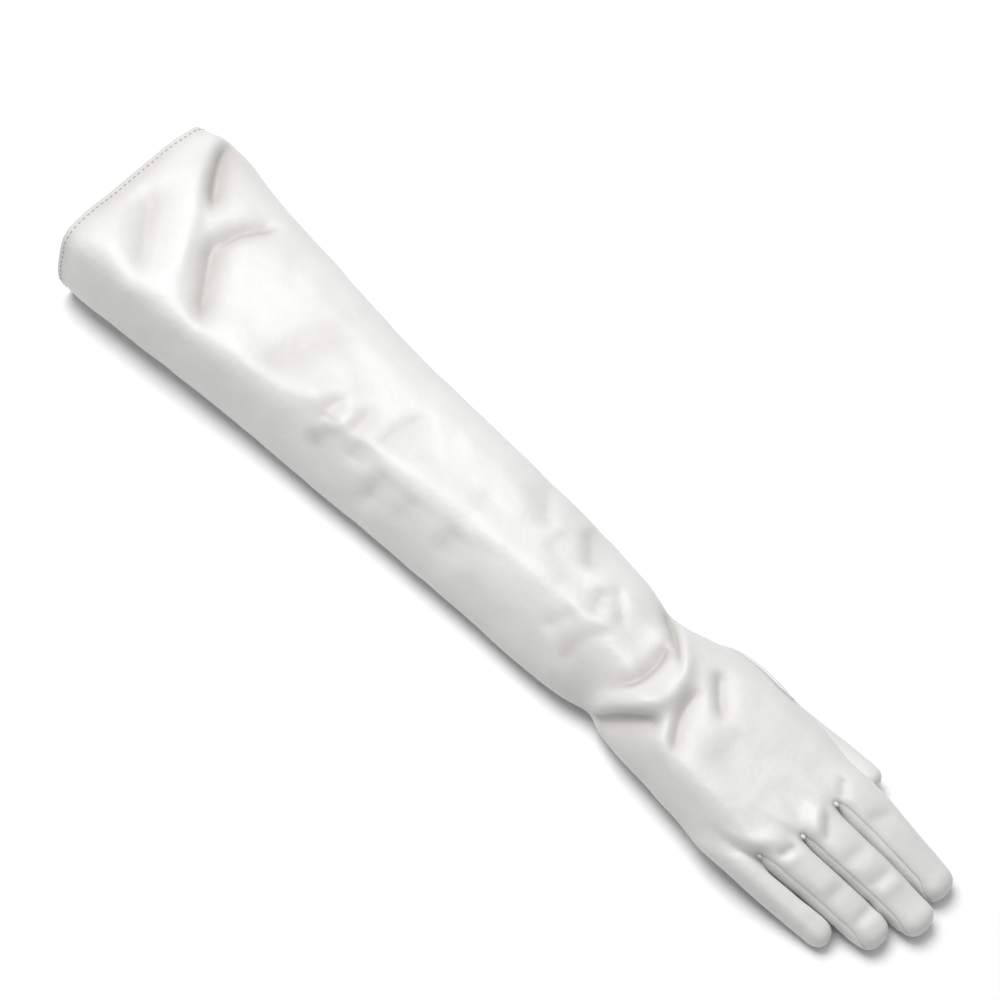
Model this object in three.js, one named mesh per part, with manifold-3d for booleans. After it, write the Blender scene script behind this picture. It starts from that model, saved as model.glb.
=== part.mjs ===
// A long dress glove of soft faux leather for the right hand, lying palm down.
// +X runs from the cuff to the fingertips, +Y towards the thumb, +Z up off the back of the hand.
// All sizes are in millimetres.
import * as THREE from 'three';
import { LoftGeometry } from 'three/addons/geometries/LoftGeometry.js';
import { mergeVertices } from 'three/addons/utils/BufferGeometryUtils.js';
import Module from 'manifold-3d';

// Driving sizes of the glove
const ARM_LENGTH = 325;
const ARM_WIDTH = 100;
const ARM_DEPTH = 50;
const HAND_LENGTH = 114;
const HAND_DEPTH = 36;
const FINGER_LENGTH = 60;
const FINGER_WIDTH = 18.1;
const FINGER_DEPTH = 17.2;
const FINGER_GAP = 0.9;
const THUMB_LENGTH = 101;
const THUMB_WIDTH = 21;
const KNUCKLE_SLANT = 20;
const RIM_BOW = 1.5;
const LEATHER = 1.2;
const SEAM_GAP = 0.3;
const HEM_WIDTH = 9;
const WELT_HEIGHT = 1.6;
const WELT_WIDTH = 1.6;

// Facets: how finely the soft surfaces are divided
const AROUND_ARM = 24;
const AROUND_FINGER = 12;
const RING_STEP = 10;

// Sections of the arm from the rim to the wrist: places are shares of the arm's length,
// sideways places are shares of its width and heights are shares of its depth.
const ARM_SECTIONS = [
  { along: 0.000, little: -0.460, ridge: -0.395, thumb: 0.500, round: 0.06, top: 0.90, under: 0, tuck: 0 },
  { along: 0.045, little: -0.470, ridge: -0.400, thumb: 0.555, round: 0.14, top: 0.95, under: 0, tuck: 0 },
  { along: 0.155, little: -0.450, ridge: -0.390, thumb: 0.500, round: 0.22, top: 0.94, under: 0, tuck: 0 },
  { along: 0.310, little: -0.430, ridge: -0.345, thumb: 0.430, round: 0.24, top: 0.90, under: 0, tuck: 0 },
  { along: 0.466, little: -0.418, ridge: -0.260, thumb: 0.357, round: 0.24, top: 0.88, under: 0, tuck: 0 },
  { along: 0.620, little: -0.408, ridge: -0.215, thumb: 0.320, round: 0.24, top: 0.86, under: 0, tuck: 0 },
  { along: 0.776, little: -0.408, ridge: -0.190, thumb: 0.282, round: 0.24, top: 0.83, under: 0, tuck: 0 },
  { along: 0.900, little: -0.412, ridge: -0.190, thumb: 0.245, round: 0.24, top: 0.79, under: 0, tuck: 0 },
  { along: 0.965, little: -0.404, ridge: -0.220, thumb: 0.215, round: 0.24, top: 0.75, under: 0.03, tuck: 0 },
];

// Sections of the hand from the wrist to the knuckles, as shares of the hand's length, of the
// width over the knuckles and of the hand's depth. The tuck is the room left for the thumb.
const HAND_SECTIONS = [
  { along: 0.03, little: -0.524, ridge: -0.290, thumb: 0.250, round: 0.24, top: 0.97, under: 0.06, tuck: 0.00 },
  { along: 0.12, little: -0.582, ridge: -0.350, thumb: 0.255, round: 0.24, top: 1.00, under: 0.07, tuck: 0.00 },
  { along: 0.21, little: -0.610, ridge: -0.420, thumb: 0.290, round: 0.24, top: 1.02, under: 0.05, tuck: 0.00 },
  { along: 0.35, little: -0.635, ridge: -0.510, thumb: 0.345, round: 0.24, top: 1.00, under: 0.02, tuck: 0.12 },
  { along: 0.56, little: -0.675, ridge: -0.560, thumb: 0.330, round: 0.24, top: 0.95, under: 0.01, tuck: 0.46 },
  { along: 0.78, little: -0.715, ridge: -0.570, thumb: 0.298, round: 0.22, top: 0.88, under: 0.05, tuck: 0.46 },
  { along: 0.93, little: -0.740, ridge: -0.570, thumb: 0.270, round: 0.18, top: 0.82, under: 0.16, tuck: 0.46 },
  { along: 1.00, little: -0.745, ridge: -0.570, thumb: 0.265, round: 0.16, top: 0.79, under: 0.26, tuck: 0.44 },
];

// The four fingers from the thumb side on. The widths at root and tip and the reach are shares of
// the finger sizes, drop is how far the finger sits below the index finger as a share of the
// hand's depth.
const FINGERS = [
  { name: 'index', root: 1.19, tip: 0.94, reach: 0.93, drop: 0.00 },
  { name: 'middle', root: 1.05, tip: 0.94, reach: 1.00, drop: 0.00 },
  { name: 'ring', root: 0.95, tip: 0.90, reach: 0.84, drop: 0.03 },
  { name: 'little', root: 0.59, tip: 0.68, reach: 0.56, drop: 0.20 },
];
const FINGER_ROOT = 0.38;
const INDEX_EDGE = 0.267;
const INDEX_EDGE_AT_TIP = 0.222;
const FINGER_RISE = 0.815;
const SQUARENESS = 2.7;

// Shape of every finger from inside the hand to its tip, as shares of its own length and width
// and of the finger depth. Fall goes from 0 at the knuckles to 1 where the finger lies down.
const FINGER_PROFILE = [
  { along: 0.00, wide: 0.90, deep: 0.80, fall: 0.00 },
  { along: 0.16, wide: 1.00, deep: 0.96, fall: 0.00 },
  { along: 0.30, wide: 1.00, deep: 1.00, fall: 0.05 },
  { along: 0.55, wide: 1.00, deep: 0.96, fall: 0.42 },
  { along: 0.78, wide: 1.00, deep: 0.88, fall: 0.82 },
  { along: 0.89, wide: 0.99, deep: 0.81, fall: 0.96 },
  { along: 0.96, wide: 0.91, deep: 0.71, fall: 1.00 },
  { along: 1.00, wide: 0.64, deep: 0.48, fall: 1.00 },
];

// The strips between the fingers: how far up and down the finger's side they go, how many
// thicknesses behind the crotch they start, where they stop along the finger, and how much of the
// gap to the next finger each side reaches over.
const STRIP_HEIGHT = 0.62;
const STRIP_BEHIND = 4;
const STRIP_END = 0.93;
const STRIP_REACH = 0.95;

// How much the end of the hand draws in between the fingers, across and up, and over how many
// thicknesses.
const CLOSING_ACROSS = 0.05;
const CLOSING_UP = 0.30;
const CLOSING_LENGTH = 5;

// The thumb from inside the hand to its tip, as shares of the thumb's length and width, of the
// width over the knuckles and of the hand's depth.
const THUMB_START = 0.14;
const THUMB_PROFILE = [
  { along: 0.00, across: 0.060, height: 0.420, wide: 0.95, deep: 0.85 },
  { along: 0.14, across: 0.125, height: 0.380, wide: 1.15, deep: 1.05 },
  { along: 0.30, across: 0.215, height: 0.300, wide: 1.05, deep: 0.92 },
  { along: 0.46, across: 0.280, height: 0.215, wide: 0.86, deep: 0.70 },
  { along: 0.70, across: 0.300, height: 0.205, wide: 0.82, deep: 0.68 },
  { along: 0.88, across: 0.310, height: 0.200, wide: 0.80, deep: 0.66 },
  { along: 0.95, across: 0.310, height: 0.195, wide: 0.70, deep: 0.58 },
  { along: 1.00, across: 0.308, height: 0.190, wide: 0.46, deep: 0.38 },
];

// Folds and dents in the top of the arm: places are shares of the arm's length and width, turn is
// the fold's direction in degrees from +X, long and wide are shares of the arm's width, and deep
// is a share of its depth, below nothing for a raised roll.
const ARM_FOLDS = [
  { along: 0.085, across: 0.320, turn: -62, long: 0.20, wide: 0.055, deep: 0.085 },
  { along: 0.100, across: 0.020, turn: -50, long: 0.50, wide: 0.090, deep: -0.060 },
  { along: 0.195, across: 0.000, turn: -68, long: 0.38, wide: 0.065, deep: 0.085 },
  { along: 0.180, across: 0.220, turn: 45, long: 0.14, wide: 0.055, deep: 0.050 },
  { along: 0.075, across: -0.180, turn: -45, long: 0.22, wide: 0.060, deep: 0.040 },
  { along: 0.250, across: 0.060, turn: -65, long: 0.30, wide: 0.090, deep: -0.035 },
  { along: 0.380, across: -0.100, turn: -84, long: 0.30, wide: 0.090, deep: 0.050 },
  { along: 0.450, across: -0.140, turn: -60, long: 0.16, wide: 0.060, deep: -0.030 },
  { along: 0.475, across: -0.190, turn: -80, long: 0.12, wide: 0.045, deep: 0.055 },
  { along: 0.510, across: -0.250, turn: 84, long: 0.14, wide: 0.040, deep: 0.040 },
  { along: 0.575, across: -0.100, turn: -78, long: 0.22, wide: 0.080, deep: 0.035 },
  { along: 0.605, across: -0.320, turn: 80, long: 0.12, wide: 0.045, deep: 0.035 },
  { along: 0.665, across: -0.310, turn: 80, long: 0.12, wide: 0.045, deep: 0.030 },
  { along: 0.735, across: -0.300, turn: 76, long: 0.12, wide: 0.045, deep: 0.030 },
  { along: 0.800, across: 0.120, turn: -48, long: 0.12, wide: 0.045, deep: 0.035 },
  { along: 0.880, across: 0.090, turn: -52, long: 0.14, wide: 0.045, deep: 0.065 },
  { along: 0.935, across: -0.070, turn: -64, long: 0.12, wide: 0.040, deep: 0.040 },
  { along: 0.915, across: -0.260, turn: 70, long: 0.14, wide: 0.040, deep: 0.045 },
  { along: 0.965, across: -0.010, turn: -42, long: 0.14, wide: 0.040, deep: 0.050 },
  { along: 0.970, across: -0.250, turn: 62, long: 0.20, wide: 0.045, deep: 0.060 },
];

// Folds round the wrist and over the hand, as shares of the hand's length, of the width over the
// knuckles and of the hand's depth.
const HAND_FOLDS = [
  { along: 0.170, across: 0.090, turn: -42, long: 0.34, wide: 0.055, deep: 0.150 },
  { along: 0.130, across: -0.130, turn: -75, long: 0.30, wide: 0.055, deep: 0.100 },
  { along: 0.210, across: -0.110, turn: -70, long: 0.32, wide: 0.075, deep: -0.080 },
  { along: 0.260, across: -0.520, turn: 38, long: 0.34, wide: 0.070, deep: 0.170 },
  { along: 0.350, across: -0.180, turn: 80, long: 0.20, wide: 0.060, deep: 0.080 },
  { along: 0.430, across: -0.380, turn: -55, long: 0.30, wide: 0.060, deep: 0.070 },
  { along: 0.420, across: 0.000, turn: -48, long: 0.28, wide: 0.060, deep: 0.080 },
  { along: 0.320, across: -0.300, turn: 40, long: 0.30, wide: 0.080, deep: -0.050 },
  { along: 0.580, across: -0.170, turn: -70, long: 0.24, wide: 0.100, deep: 0.030 },
  { along: 0.960, across: -0.070, turn: 10, long: 0.16, wide: 0.050, deep: 0.060 },
  { along: 0.960, across: -0.340, turn: 8, long: 0.16, wide: 0.050, deep: 0.060 },
  { along: 0.900, across: -0.590, turn: 4, long: 0.16, wide: 0.050, deep: 0.060 },
];

// Raised seams on the thumb side, from and to as shares of the length of arm or hand, and at as
// the place round the section, from the thumb side over the top.
const ARM_WELT = { from: 0.012, to: 0.90, at: 0.975 };
const HAND_WELT = { from: 0.26, to: 0.60, at: 0.030 };

// How a section runs between its named places: across and foot are shares of its width or of the
// way to the next place, up is a share of its height.
const THUMB_SIDE_UP = 0.48;
const THUMB_SHOULDER = { across: 0.33, up: 0.76 };
const TOP_MIDDLE = 0.35;
const RIDGE_EDGE = { across: 0.03, up: 0.985 };
const RIDGE_SLOPE = { across: 0.42, up: 0.74 };
const LITTLE_SIDE_UP = 0.30;
const LITTLE_FOOT = 0.10;
const UNDER_MIDDLE = 0.52;
const THUMB_FOOT = 0.11;

// Folds press in the surface that faces up and fade out over the sides: how far up it must face
// for none and for all of their depth.
const FOLD_FADE = { none: -0.5, all: 0.3 };

const STRIP_STEPS = 8;
const THUMB_STATIONS = [0, 0.07, 0.14, 0.22, 0.30, 0.38, 0.46, 0.58, 0.70, 0.79, 0.88, 0.95, 1];
const THUMB_HOLE_END = 0.46;
const FINGER_STATIONS = [0, 0.16, 0.30, 0.42, 0.55, 0.67, 0.78, 0.89, 0.96, 1];
const WRIST_X = ARM_LENGTH;
const KNUCKLE_X = WRIST_X + HAND_LENGTH;
const ROOT_WIDTHS = FINGERS.map((finger) => finger.root * FINGER_WIDTH);
const TIP_WIDTHS = FINGERS.map((finger) => finger.tip * FINGER_WIDTH);
const KNUCKLE_WIDTH = ROOT_WIDTHS.reduce((sum, width) => sum + width, 0)
  + (FINGERS.length - 1) * FINGER_GAP;
const DOME = CLOSING_LENGTH * LEATHER;

const wasm = await Module();
wasm.setup();

const { clamp, lerp, smoothstep, degToRad } = THREE.MathUtils;

// Turns a table of rows into a smooth function that gives every column at any place along it.
function smoothTable(rows) {
  const columns = Object.keys(rows[0]).filter((name) => name !== 'along');
  const places = rows.map((row) => row.along);
  const values = rows.flatMap((row) => columns.map((name) => row[name]));
  const curve = new THREE.CubicInterpolant(places, values, columns.length);
  return (place) => {
    const found = curve.evaluate(clamp(place, places[0], places.at(-1)));
    return Object.fromEntries(columns.map((name, i) => [name, found[i]]));
  };
}

// Real sizes of a row of sections, from its shares.
function sectionRow(row, start, length, width, depth) {
  return {
    along: start + row.along * length,
    little: row.little * width,
    ridge: row.ridge * width,
    thumb: row.thumb * width,
    round: row.round,
    top: row.top * depth,
    under: row.under * depth,
    tuck: row.tuck * depth,
  };
}

const tableAt = smoothTable([
  ...ARM_SECTIONS.map((row) => sectionRow(row, 0, ARM_LENGTH, ARM_WIDTH, ARM_DEPTH)),
  ...HAND_SECTIONS.map((row) => sectionRow(row, WRIST_X, HAND_LENGTH, KNUCKLE_WIDTH, HAND_DEPTH)),
]);

// The section at a place along arm and hand, never below what the glove lies on.
function sectionAt(x) {
  const section = tableAt(x);
  return { ...section, under: Math.max(section.under, 0) };
}

// Real sizes of a fold, from its shares.
function foldRow(row, start, length, width, depth) {
  const turn = degToRad(row.turn);
  return {
    x: start + row.along * length,
    y: row.across * width,
    cos: Math.cos(turn),
    sin: Math.sin(turn),
    long: (row.long * width) / 2,
    wide: row.wide * width,
    deep: row.deep * depth,
  };
}

const folds = [
  ...ARM_FOLDS.map((row) => foldRow(row, 0, ARM_LENGTH, ARM_WIDTH, ARM_DEPTH)),
  ...HAND_FOLDS.map((row) => foldRow(row, WRIST_X, HAND_LENGTH, KNUCKLE_WIDTH, HAND_DEPTH)),
];

// How deep the folds press the surface in at a place seen from above.
function foldDepth(x, y) {
  let depth = 0;
  for (const fold of folds) {
    const lengthwise = ((x - fold.x) * fold.cos + (y - fold.y) * fold.sin) / fold.long;
    const crosswise = ((y - fold.y) * fold.cos - (x - fold.x) * fold.sin) / fold.wide;
    depth += fold.deep * Math.exp(-(lengthwise ** 4) - crosswise ** 2);
  }
  return depth;
}

// The closed curve of one section of arm or hand, from the thumb side over the top.
function sectionCurve(s) {
  const width = s.thumb - s.little;
  const palmSide = Math.max(s.under, s.tuck);
  const thumbSide = lerp(palmSide, s.top, THUMB_SIDE_UP);
  const up = (share) => lerp(s.under, s.top, share);
  const points = [
    [s.thumb, thumbSide],
    [
      s.thumb - THUMB_SHOULDER.across * s.round * width,
      lerp(thumbSide, s.top, THUMB_SHOULDER.up),
    ],
    [s.thumb - s.round * width, s.top],
    [lerp(s.ridge, s.thumb, TOP_MIDDLE), s.top],
    [s.ridge + RIDGE_EDGE.across * width, up(RIDGE_EDGE.up)],
    [lerp(s.little, s.ridge, RIDGE_SLOPE.across), up(RIDGE_SLOPE.up)],
    [s.little, up(LITTLE_SIDE_UP)],
    [s.little + LITTLE_FOOT * width, s.under],
    [lerp(s.little, s.thumb, UNDER_MIDDLE), s.under],
    [s.thumb - THUMB_FOOT * width, palmSide],
  ];
  return new THREE.CatmullRomCurve3(points.map(([y, z]) => new THREE.Vector3(0, y, z)), true);
}

// How much of the full section is left where the hand closes between the fingers.
function closing(x, share) {
  const past = clamp((x - (KNUCKLE_X - DOME)) / DOME, 0, 1);
  return 1 - share * past ** 2;
}

// How far the knuckle line lies back at a share of the half width towards the little finger.
function slantAt(across) {
  return KNUCKLE_SLANT * clamp(across, 0, 1) ** 2;
}

// One ring of the arm or hand skin, moved inwards by inset.
function skinRing(x, inset, places) {
  const section = sectionAt(x);
  const curve = sectionCurve(section);
  const middle = (section.little + section.thumb) / 2;
  const halfway = (section.top + section.under) / 2;
  const halfWidth = (section.thumb - section.little) / 2;
  const acrossScale = closing(x + inset, CLOSING_ACROSS);
  const upScale = closing(x + inset, CLOSING_UP);
  const slanted = smoothstep(x, WRIST_X + HAND_LENGTH / 2, KNUCKLE_X);
  const bow = RIM_BOW * (1 - smoothstep(x, 0, ARM_WIDTH));
  return places.map((place) => {
    const point = curve.getPoint(place);
    const tangent = curve.getTangent(place);
    const outward = new THREE.Vector3(0, tangent.z, -tangent.y);
    const flat = point.z <= section.under;
    if (flat) outward.set(0, 0, -1);
    point.z = Math.max(point.z, section.under);
    const facing = smoothstep(outward.z, FOLD_FADE.none, FOLD_FADE.all);
    const pressed = foldDepth(x, point.y) * facing;
    point.addScaledVector(outward, -inset - pressed);
    point.y = middle + (point.y - middle) * acrossScale;
    point.z = halfway + (point.z - halfway) * upScale;
    const across = (middle - point.y) / halfWidth;
    point.x = x - slanted * slantAt(across) - bow * (1 - across ** 2);
    return point;
  });
}

// Shares from 0 up to 1, one for each of a number of points round a ring.
function shares(count) {
  return Array.from({ length: count }, (_, i) => i / count);
}

// Even steps from one place to another, no longer than the longest step.
function steps(from, to, longest) {
  const count = Math.ceil((to - from) / longest);
  return Array.from({ length: count + 1 }, (_, i) => lerp(from, to, i / count));
}

// A closed body through a row of rings.
function loft(rings) {
  const surface = new LoftGeometry(rings, { capStart: true, capEnd: true });
  const geometry = new THREE.BufferGeometry();
  geometry.setAttribute('position', surface.getAttribute('position'));
  geometry.setIndex(surface.getIndex());
  const merged = mergeVertices(geometry);
  const body = new wasm.Mesh({
    numProp: 3,
    vertProperties: merged.attributes.position.array,
    triVerts: new Uint32Array(merged.index.array),
  });
  return new wasm.Manifold(body);
}

// Places of the rings along the arm and hand, closer together where the hand closes.
const domeX = KNUCKLE_X - DOME;
const stations = [...steps(0, domeX, RING_STEP), ...steps(domeX, KNUCKLE_X, DOME / 3).slice(1)];

// The arm and hand as one body, moved inwards by inset, from one place to another.
function skinBody(inset, from, to) {
  const places = [from, ...stations.filter((x) => x > from && x < to), to];
  return loft(places.map((x) => skinRing(x, inset, shares(AROUND_ARM))));
}

// Points of a rounded box section: half is its half width, rise its half height.
function roundedRing(x, y, z, half, rise, count) {
  const roundness = 2 / SQUARENESS;
  return shares(count).map((share) => {
    const cos = Math.cos(2 * Math.PI * share);
    const sin = Math.sin(2 * Math.PI * share);
    return new THREE.Vector3(
      x,
      y + half * Math.sign(cos) * Math.abs(cos) ** roundness,
      z + rise * Math.sign(sin) * Math.abs(sin) ** roundness,
    );
  });
}

// Middles of the fingers side by side, from the outer edge of the index finger.
function fingerMiddles(edge, widths) {
  let next = edge * KNUCKLE_WIDTH;
  return widths.map((width) => {
    const middle = next - width / 2;
    next -= width + FINGER_GAP;
    return middle;
  });
}

const profileAt = smoothTable(FINGER_PROFILE);
const rootMiddles = fingerMiddles(INDEX_EDGE, ROOT_WIDTHS);
const tipMiddles = fingerMiddles(INDEX_EDGE_AT_TIP, TIP_WIDTHS);

// Middle, half width and half height of a finger at a share of its length.
function fingerPlace(i, share) {
  const finger = FINGERS[i];
  const profile = profileAt(share);
  const startX = KNUCKLE_X - FINGER_ROOT * FINGER_LENGTH;
  const tipX = KNUCKLE_X + finger.reach * FINGER_LENGTH;
  const knuckleShare = (KNUCKLE_X - startX) / (tipX - startX);
  const bend = smoothstep(share, knuckleShare, 1);
  const rise = (profile.deep * FINGER_DEPTH * lerp(1, finger.tip, 0.5)) / 2;
  const rootZ = (FINGER_RISE - finger.drop) * HAND_DEPTH - rise;
  return {
    x: lerp(startX, tipX, share),
    y: lerp(rootMiddles[i], tipMiddles[i], bend),
    z: lerp(rootZ, rise, Math.min(profile.fall, 1)),
    half: (profile.wide * lerp(ROOT_WIDTHS[i], TIP_WIDTHS[i], bend)) / 2,
    rise,
  };
}

// One finger as a closed body, moved inwards by inset.
function fingerBody(i, inset) {
  const length = (FINGER_ROOT + FINGERS[i].reach) * FINGER_LENGTH;
  const last = 1 - inset / length;
  return loft(FINGER_STATIONS.map((share) => {
    const place = fingerPlace(i, share);
    const x = fingerPlace(i, share * last).x;
    return roundedRing(x, place.y, place.z, place.half - inset, place.rise - inset, AROUND_FINGER);
  }));
}

// The crotch between a finger and the next one.
function crotchX(i) {
  const knuckles = sectionAt(KNUCKLE_X);
  const middle = (knuckles.little + knuckles.thumb) / 2;
  const gap = (rootMiddles[i] + rootMiddles[i + 1]) / 2;
  return KNUCKLE_X - slantAt((middle - gap) / (knuckles.thumb - middle));
}

// The room that the strip on one side of a finger takes, made larger all round by grow.
// The side is 1 towards the thumb and -1 towards the little finger.
function stripRoom(i, side, grow) {
  const length = (FINGER_ROOT + FINGERS[i].reach) * FINGER_LENGTH;
  const startX = crotchX(side > 0 ? i - 1 : i) - STRIP_BEHIND * LEATHER - grow;
  const start = (startX - KNUCKLE_X + FINGER_ROOT * FINGER_LENGTH) / length;
  const end = STRIP_END + grow / length;
  return loft(steps(start, end, (end - start) / STRIP_STEPS).map((share) => {
    const place = fingerPlace(i, share);
    const reach = place.half + STRIP_REACH * FINGER_GAP + grow;
    const high = STRIP_HEIGHT * place.rise + grow;
    const near = place.y - (side > 0 ? grow : reach);
    const far = place.y + (side > 0 ? reach : grow);
    return [[far, -high], [far, high], [near, high], [near, -high]].map(
      ([y, z]) => new THREE.Vector3(place.x, y, place.z + z),
    );
  }));
}

const thumbAt = smoothTable(THUMB_PROFILE);

// The thumb as a closed body up to a share of its length, moved inwards by inset.
function thumbBody(inset, upTo) {
  const startX = WRIST_X + THUMB_START * HAND_LENGTH;
  const last = 1 - inset / THUMB_LENGTH;
  return loft(THUMB_STATIONS.filter((share) => share <= upTo).map((share) => {
    const place = thumbAt(share);
    return roundedRing(
      startX + share * last * THUMB_LENGTH,
      place.across * KNUCKLE_WIDTH,
      place.height * HAND_DEPTH,
      (place.wide * THUMB_WIDTH) / 2 - inset,
      (place.deep * THUMB_WIDTH) / 2 - inset,
      AROUND_FINGER,
    );
  }));
}

// A raised seam that runs along the skin at one place round the section.
function weltBody(from, to, at) {
  const girth = 2 * (ARM_WIDTH + ARM_DEPTH);
  const half = WELT_WIDTH / girth / 2;
  const places = [at - half, at + half];
  return loft(steps(from, to, RING_STEP).map((x) => {
    const low = skinRing(x, -SEAM_GAP, places);
    const high = skinRing(x, -SEAM_GAP - WELT_HEIGHT, places);
    return [low[0], high[0], high[1], low[1]];
  }));
}

// The largest body of a cut, without crumbs.
function largest(body) {
  const bodies = body.decompose();
  return bodies.reduce((best, next) => (next.volume() > best.volume() ? next : best));
}

// A named mesh of a finished body.
function piece(name, body, look) {
  const cut = body.getMesh();
  const geometry = new THREE.BufferGeometry();
  geometry.setAttribute('position', new THREE.BufferAttribute(cut.vertProperties, 3));
  geometry.setIndex(new THREE.BufferAttribute(cut.triVerts, 1));
  geometry.computeVertexNormals();
  const mesh = new THREE.Mesh(geometry, new THREE.MeshStandardMaterial(look));
  mesh.name = name;
  return mesh;
}

const LEATHER_LOOK = { color: 0xf4f3ef, roughness: 0.42, metalness: 0 };
const STRIP_LOOK = { color: 0xecebe6, roughness: 0.46, metalness: 0 };
const HEM_LOOK = { color: 0xe9e8e3, roughness: 0.55, metalness: 0 };
const WELT_LOOK = { color: 0xf0efea, roughness: 0.48, metalness: 0 };

const all = (bodies) => bodies.reduce((sum, next) => sum.add(next));
const fingers = (inset) => FINGERS.map((_, i) => fingerBody(i, inset));
const past = 2 * LEATHER; // how far a cut runs out past an open end

const outside = all([skinBody(0, 0, KNUCKLE_X), ...fingers(0)]);
const inside = all([skinBody(LEATHER, -past, KNUCKLE_X - LEATHER), ...fingers(LEATHER)]);
const shell = outside.subtract(inside);

const strips = FINGERS.slice(0, -1).map((finger, i) => {
  const room = (grow) => stripRoom(i, -1, grow).add(stripRoom(i + 1, 1, grow));
  return {
    name: `fourchette_${finger.name}_${FINGERS[i + 1].name}`,
    body: largest(shell.intersect(room(0))),
    room: room(SEAM_GAP),
  };
});

const thumbHole = thumbBody(LEATHER, THUMB_HOLE_END);
const clearOfHand = all([skinBody(-SEAM_GAP, 0, KNUCKLE_X), fingerBody(0, -SEAM_GAP)]);
const thumb = largest(thumbBody(0, 1).subtract(thumbBody(LEATHER, 1)).subtract(clearOfHand));
const trank = largest(shell.subtract(all(strips.map((strip) => strip.room))).subtract(thumbHole));

const hemOutside = skinBody(LEATHER + SEAM_GAP, 0, HEM_WIDTH);
const hem = hemOutside.subtract(skinBody(2 * LEATHER + SEAM_GAP, -past, HEM_WIDTH + past));

const armWelt = weltBody(ARM_WELT.from * ARM_LENGTH, ARM_WELT.to * ARM_LENGTH, ARM_WELT.at);
const handWelt = weltBody(
  WRIST_X + HAND_WELT.from * HAND_LENGTH,
  WRIST_X + HAND_WELT.to * HAND_LENGTH,
  HAND_WELT.at,
);

const glove = new THREE.Group();
glove.add(piece('trank', trank, LEATHER_LOOK));
glove.add(piece('thumb', thumb, LEATHER_LOOK));
strips.forEach((strip) => glove.add(piece(strip.name, strip.body, STRIP_LOOK)));
glove.add(piece('cuff_hem', hem, HEM_LOOK));
glove.add(piece('arm_seam_welt', armWelt, WELT_LOOK));
glove.add(piece('hand_seam_welt', handWelt, WELT_LOOK));

// The origin is the middle of the underside.
const box = new THREE.Box3().setFromObject(glove);
const centre = box.getCenter(new THREE.Vector3());
glove.position.set(-centre.x, -centre.y, -box.min.z);

export default glove;
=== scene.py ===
import bpy
import math
import numpy as np
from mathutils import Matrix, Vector, noise


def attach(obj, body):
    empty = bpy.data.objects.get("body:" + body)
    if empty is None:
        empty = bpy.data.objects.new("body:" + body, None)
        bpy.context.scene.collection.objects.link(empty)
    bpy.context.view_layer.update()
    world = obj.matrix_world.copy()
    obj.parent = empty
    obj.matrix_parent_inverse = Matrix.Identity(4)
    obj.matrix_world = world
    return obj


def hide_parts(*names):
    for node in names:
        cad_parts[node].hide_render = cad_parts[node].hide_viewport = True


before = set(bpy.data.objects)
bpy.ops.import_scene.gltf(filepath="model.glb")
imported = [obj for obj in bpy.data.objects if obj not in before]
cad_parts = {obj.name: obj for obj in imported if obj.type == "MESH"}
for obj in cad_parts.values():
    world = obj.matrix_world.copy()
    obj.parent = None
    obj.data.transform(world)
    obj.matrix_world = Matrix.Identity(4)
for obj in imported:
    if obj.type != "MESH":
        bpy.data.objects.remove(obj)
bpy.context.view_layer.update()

# Sizes of the glove in millimetres. X runs from the cuff's rim to the fingertips, Y towards the
# thumb and Z up off the back of the hand.
ARM_LENGTH = 325
ARM_WIDTH = 100
ARM_DEPTH = 50
HAND_LENGTH = 114
HAND_DEPTH = 36
FINGER_LENGTH = 60
FINGER_WIDTH = 18.1
FINGER_DEPTH = 17.2
FINGER_GAP = 0.9
THUMB_LENGTH = 101
THUMB_WIDTH = 21
KNUCKLE_SLANT = 20
RIM_BOW = 1.5
LEATHER = 1.2
HEM_WIDTH = 9

# Where the rim's middle stands in the shared frame, and metres in a millimetre.
RIM_PLACE = np.array([-248.75, -1.835, 0.0])
MM = 0.001

# The least height of any place over the floor.
LIFT = 0.02

# Sections of the arm: along as a share of its length, then the little finger's edge, the ridge and
# the thumb's edge as shares of its width, the rounding, and top, underside and tuck as shares of
# its depth.
ARM_SECTIONS = np.array([
    (0.000, -0.460, -0.395, 0.500, 0.06, 0.90, 0.00, 0.00),
    (0.045, -0.470, -0.400, 0.555, 0.14, 0.95, 0.00, 0.00),
    (0.155, -0.450, -0.390, 0.500, 0.22, 0.94, 0.00, 0.00),
    (0.310, -0.430, -0.345, 0.430, 0.24, 0.90, 0.00, 0.00),
    (0.466, -0.418, -0.260, 0.357, 0.24, 0.88, 0.00, 0.00),
    (0.620, -0.408, -0.215, 0.320, 0.24, 0.86, 0.00, 0.00),
    (0.776, -0.408, -0.190, 0.282, 0.24, 0.83, 0.00, 0.00),
    (0.900, -0.412, -0.190, 0.245, 0.24, 0.79, 0.00, 0.00),
    (0.965, -0.404, -0.220, 0.215, 0.24, 0.75, 0.03, 0.00),
])

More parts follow.
